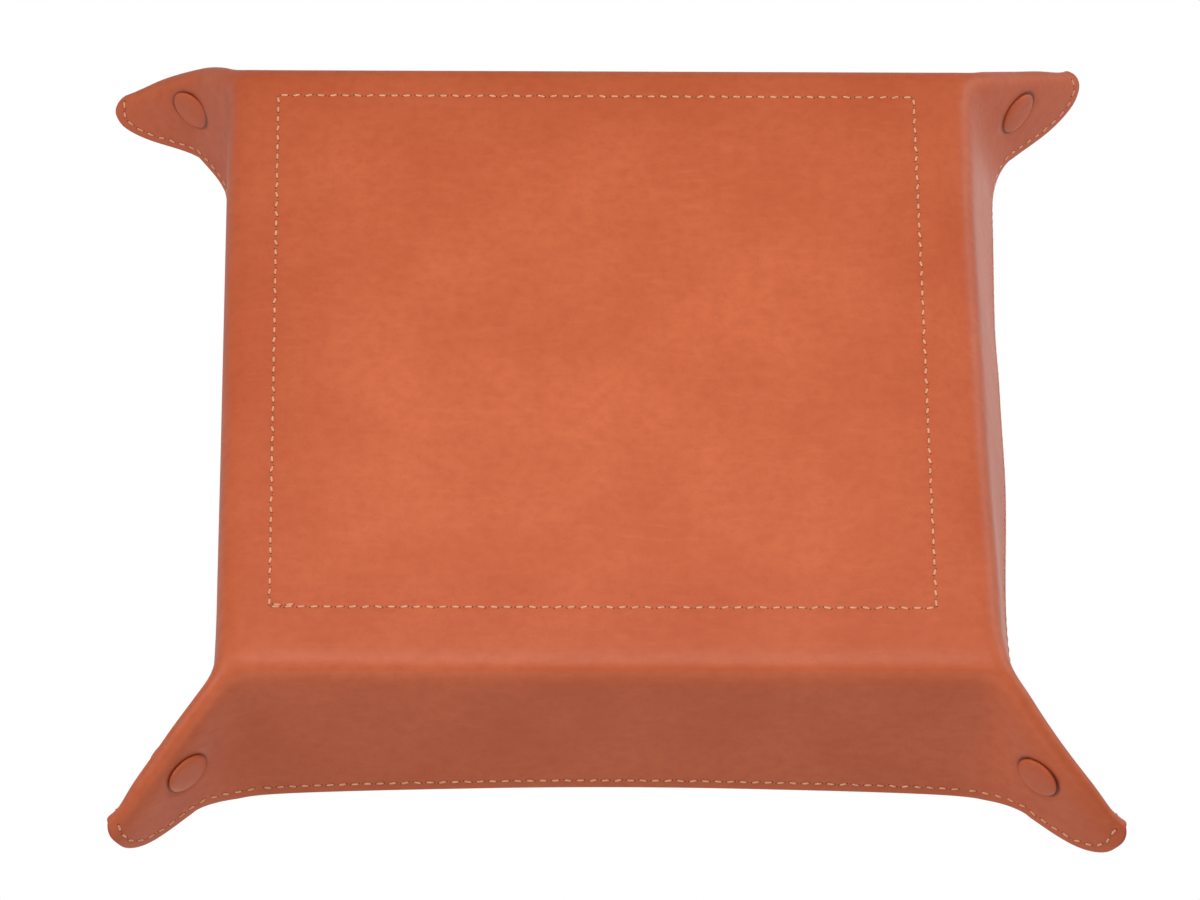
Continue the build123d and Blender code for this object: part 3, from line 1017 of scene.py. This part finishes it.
def seam(name, lines, lining=False):
    """Stitches along flat lines of the sheet, on its leather or on its lining side."""
    points, normals, edges = [], [], []
    for line in lines:
        place, normal = sheet_at(line[:, 0], line[:, 1])
        if lining:
            here, out = place + normal * (INNER - plateau(line))[:, None], -normal
        else:
            here, out = place + normal * OUTER, normal
        edges += [(len(points) + i, len(points) + i + 1) for i in range(len(line) - 1)]
        points += (here * MM).tolist()
        normals += out.tolist()
    mesh = bpy.data.meshes.new(name)
    mesh.from_pydata(points, edges, [])
    mesh.attributes.new("seam_normal", "FLOAT_VECTOR", "POINT").data.foreach_set("vector", np.ravel(normals))
    obj = bpy.data.objects.new(name, mesh)
    bpy.context.scene.collection.objects.link(obj)
    modifier = obj.modifiers.new("stitches", "NODES")
    modifier.node_group = SEAM_TREE
    for item in SEAM_TREE.interface.items_tree:
        if item.name in SEAM_SIZES:
            modifier[item.identifier] = SEAM_SIZES[item.name] * MM
    bpy.context.view_layer.update()
    evaluated = obj.evaluated_get(bpy.context.evaluated_depsgraph_get())
    stitched = bpy.data.meshes.new_from_object(evaluated)
    obj.modifiers.clear()
    obj.data = stitched
    return obj


def trimmed(line):
    """A line cut back by half a pitch at both ends, so that stitches keep their spacing across seams."""
    length = np.concatenate([[0], np.cumsum(np.linalg.norm(np.diff(line, axis=0), axis=1))])
    count = max(round(length[-1] / PITCH), 1)
    half = length[-1] / count / 2
    at = np.linspace(half, length[-1] - half, 8 * count)
    return np.stack([np.interp(at, length, line[:, k]) for k in (0, 1)], 1)


corner_points = SEWN_CENTRE + SEWN_HALF * np.array([(-1, -1), (1, -1), (1, 1), (-1, 1), (-1, -1)])
square = [trimmed(np.linspace(a, b, 200)) for a, b in zip(corner_points[:-1], corner_points[1:])]
# The seam ends in two stitches sewn back beside it, at one corner
BACK_START, BACK_END = (-0.4, 0.7), (-7.8, 0.7)
square.append(trimmed(np.linspace(corner_points[1] + BACK_START, corner_points[1] + BACK_END, 30)))
# The rim's seam follows the outline, and stops short of the ridge and of where it would cross itself
RIDGE_CLEAR = 3.0
SEAM_SLACK = 0.12
SEAM_PARTS_AT = -WALL_END - 0.5
inwards = inward(RIM_LINE, first=np.array([0.0, 1.0]), last=np.array([1.0, 1.0]) / math.sqrt(2))
rim_seam = RIM_LINE + inwards * RIM_SEAM
gaps = np.array([np.linalg.norm(outline - p, axis=1).min() for p in rim_seam])
rim_seam = rim_seam[(gaps > RIM_SEAM - SEAM_SLACK) | (rim_seam[:, 0] > -WALL_END)]
rim_seam = rim_seam[np.abs(rim_seam[:, 0] - rim_seam[:, 1]) > RIDGE_CLEAR]
wall_seam = rim_seam[rim_seam[:, 0] > SEAM_PARTS_AT]
wall_seam = np.vstack([wall_seam[::-1], wall_seam[1:] * np.array([-1, 1])])
ear_seam = even(rim_seam[rim_seam[:, 0] <= SEAM_PARTS_AT], 300)
for layer, edge, skin, lining, material in LAYERS:
    stitched = seam(f"base_{layer}_seam", square, lining)
    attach(stitched, "base")
    for k, wall in enumerate(WALLS):
        spin = np.linalg.matrix_power(np.array([[0, -1], [1, 0]]), k).astype(float)
        stitched = seam(f"{wall}_wall_{layer}_seam", [trimmed(wall_seam @ spin.T)], lining)
        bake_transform(stitched)
    for (corner, wall), turn in ear_turns.items():
        line = trimmed(ear_seam @ np.array(turn, float).T)
        stitched = seam(f"{corner}_ear_{wall}_{layer}_seam", [line], lining)
        start, end = crease_span(turn)
        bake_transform(stitched)


# Stage, light and camera
def photo_point(x, y, z):
    """A place given in the photo's frame, where the tray lies upside down."""
    return Vector((-x, y, -z)) * MM


def add_area(name, place, target, size, power):
    """A white rectangular lamp of a size in metres and a power in watts, aimed at a place."""
    light = bpy.data.lights.new(name, "AREA")
    light.shape = "RECTANGLE"
    light.size, light.size_y = size
    light.energy = power
    obj = bpy.data.objects.new(name, light)
    obj.location = place
    obj.rotation_euler = (target - place).to_track_quat("-Z", "Y").to_euler()
    bpy.context.scene.collection.objects.link(obj)


# The photo's light, from where it comes in the photo, and a soft lamp over the upright tray
add_area("photo_key", photo_point(20, -60, 520), photo_point(20, -60, 0), (0.4, 0.4), 2.0)
add_area("photo_left", photo_point(-1200, -250, 750), photo_point(-80, 0, -30), (0.3, 0.3), 5.5)
add_area("photo_side", photo_point(640, 250, 140), photo_point(60, 40, -30), (0.5, 0.2), 1.3)
add_area("photo_table", photo_point(390, 720, -930), photo_point(118, 0, -30), (0.6, 1.0), 1.4)
add_area("photo_front", photo_point(100, -1500, 300), photo_point(0, 0, -30), (1.2, 0.45), 4.0)
add_area("top_key", Vector((-0.3, -0.4, 1.9)), Vector((0, 0, 0)), (0.8, 0.8), 3)

# The room's light: how strong it is from below, and how much stronger from above, between two heights
ROOM_BELOW, ROOM_ABOVE = 0.3, 0.5
ROOM_HEIGHTS = (-0.15, 0.25)
# The floor lies just under the tray; it glows a little, so that it is white in the pictures
FLOOR_HEIGHT, FLOOR_REACH = -0.0006, 4
FLOOR_TONE, FLOOR_GLOW = 0.9, 0.24


def mix_shaders(tree, factor, without, within, output):
    """A shader for where the factor is zero and one for where it is one, led to an output."""
    mix = tree.nodes.new("ShaderNodeMixShader")
    tree.links.new(factor, mix.inputs[0])
    tree.links.new(without.outputs[0], mix.inputs[1])
    tree.links.new(within.outputs[0], mix.inputs[2])
    tree.links.new(mix.outputs[0], tree.nodes.new(output).inputs[0])


def white_room():
    """A world that the camera sees as white, and that lights the tray a little more from above."""
    world = bpy.data.worlds.new("white_room")
    bpy.context.scene.world = world
    world.use_nodes = True
    tree = world.node_tree
    tree.nodes.clear()
    seen = tree.nodes.new("ShaderNodeBackground")
    seen.inputs["Color"].default_value = (1, 1, 1, 1)
    seen.inputs["Strength"].default_value = 1.0
    lit = tree.nodes.new("ShaderNodeBackground")
    direction = tree.nodes.new("ShaderNodeTexCoord")
    parts = tree.nodes.new("ShaderNodeSeparateXYZ")
    tree.links.new(direction.outputs["Generated"], parts.inputs[0])
    upper = ramp(tree, parts.outputs[2], *ROOM_HEIGHTS)
    tree.links.new(math_node(tree, "ADD", ROOM_BELOW, share(tree, upper, ROOM_ABOVE)), lit.inputs["Strength"])
    ray = tree.nodes.new("ShaderNodeLightPath")
    mix_shaders(tree, ray.outputs["Is Camera Ray"], lit, seen, "ShaderNodeOutputWorld")


def white_floor():
    """A pale floor that catches the shadow, and that only the camera sees, and only from above."""
    r, z = FLOOR_REACH, FLOOR_HEIGHT
    mesh = bpy.data.meshes.new("floor")
    mesh.from_pydata([(-r, -r, z), (r, -r, z), (r, r, z), (-r, r, z)], [], [(0, 1, 2, 3)])
    floor = bpy.data.objects.new("floor", mesh)
    bpy.context.scene.collection.objects.link(floor)
    material = bpy.data.materials.new("floor_white")
    material.use_nodes = True
    tree = material.node_tree
    tree.nodes.clear()
    white = tree.nodes.new("ShaderNodeBsdfDiffuse")
    white.inputs["Color"].default_value = (FLOOR_TONE, FLOOR_TONE, FLOOR_TONE, 1)
    glow = tree.nodes.new("ShaderNodeEmission")
    glow.inputs["Strength"].default_value = FLOOR_GLOW
    bright = tree.nodes.new("ShaderNodeAddShader")
    tree.links.new(white.outputs[0], bright.inputs[0])
    tree.links.new(glow.outputs[0], bright.inputs[1])
    clear = tree.nodes.new("ShaderNodeBsdfTransparent")
    ray = tree.nodes.new("ShaderNodeLightPath")
    side = tree.nodes.new("ShaderNodeNewGeometry")
    front = rest_of(tree, side.outputs["Backfacing"])
    shown = math_node(tree, "MULTIPLY", ray.outputs["Is Camera Ray"], front)
    mix_shaders(tree, shown, clear, bright, "ShaderNodeOutputMaterial")
    mesh.materials.append(material)
    return floor


white_room()
floor = white_floor()

# The camera of the photo: it looks down on the tray's underside, so here it looks up from below
PHOTO_WIDTH_PX, FOCAL_PX = 1200, 8000.0
ELEVATION, YAW, ROLL = math.radians(52.4), math.radians(-1.99), math.radians(1.74)
TARGET, DISTANCE = np.array([-3.4, -34.9, 0.0]), 2372.7
SENSOR_MM = 36


def photo_camera():
    """The photo's camera in the upright frame."""
    level = math.cos(ELEVATION)
    back = np.array([math.sin(YAW) * level, -math.cos(YAW) * level, math.sin(ELEVATION)])
    right = np.array([math.cos(YAW), math.sin(YAW), 0.0])
    up = np.cross(back, right)
    camera_right = right * math.cos(ROLL) + up * math.sin(ROLL)
    camera_up = -right * math.sin(ROLL) + up * math.cos(ROLL)
    # Half a turn about Y takes the photo's frame to the upright one
    flip = np.array([-1.0, 1.0, -1.0])
    axes = np.stack([camera_right * flip, camera_up * flip, back * flip], 1)
    eye = (TARGET + back * DISTANCE) * flip * MM
    lens = bpy.data.cameras.new("photo_camera")
    lens.sensor_fit = "HORIZONTAL"
    lens.sensor_width = SENSOR_MM
    lens.lens = FOCAL_PX / PHOTO_WIDTH_PX * SENSOR_MM
    lens.clip_start = 0.05
    lens.clip_end = 50
    camera = bpy.data.objects.new("photo_camera", lens)
    camera.matrix_world = Matrix([[*axes[row], eye[row]] for row in range(3)] + [[0, 0, 0, 1]])
    bpy.context.scene.collection.objects.link(camera)
    return camera


bpy.context.scene.camera = photo_camera()

scene = bpy.context.scene
scene.view_settings.view_transform = "Standard"
scene.render.film_transparent = False
